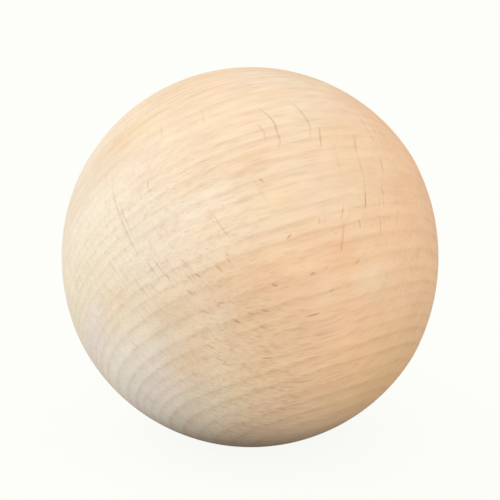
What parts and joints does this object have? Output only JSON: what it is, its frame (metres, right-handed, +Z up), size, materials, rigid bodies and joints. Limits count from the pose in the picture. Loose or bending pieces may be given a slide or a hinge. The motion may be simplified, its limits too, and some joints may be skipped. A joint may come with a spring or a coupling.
{
  "type": "wooden ball",
  "caption": "Solid turned beech ball, unfinished and sanded smooth, with two slightly flatter turned ends.",
  "frame": {"origin": "centre of the ball's sphere, which is its centre of mass to 0.05 mm", "axes": "+X along the axis that the ball was turned about, towards the driven end; +Z up"},
  "size_m": [0.0792, 0.08, 0.08],
  "materials": {
    "beech": "matt, sanded, unfinished"
  },
  "bodies": {
    "root": {"ball": "beech"}
  },
  "joints": []
}
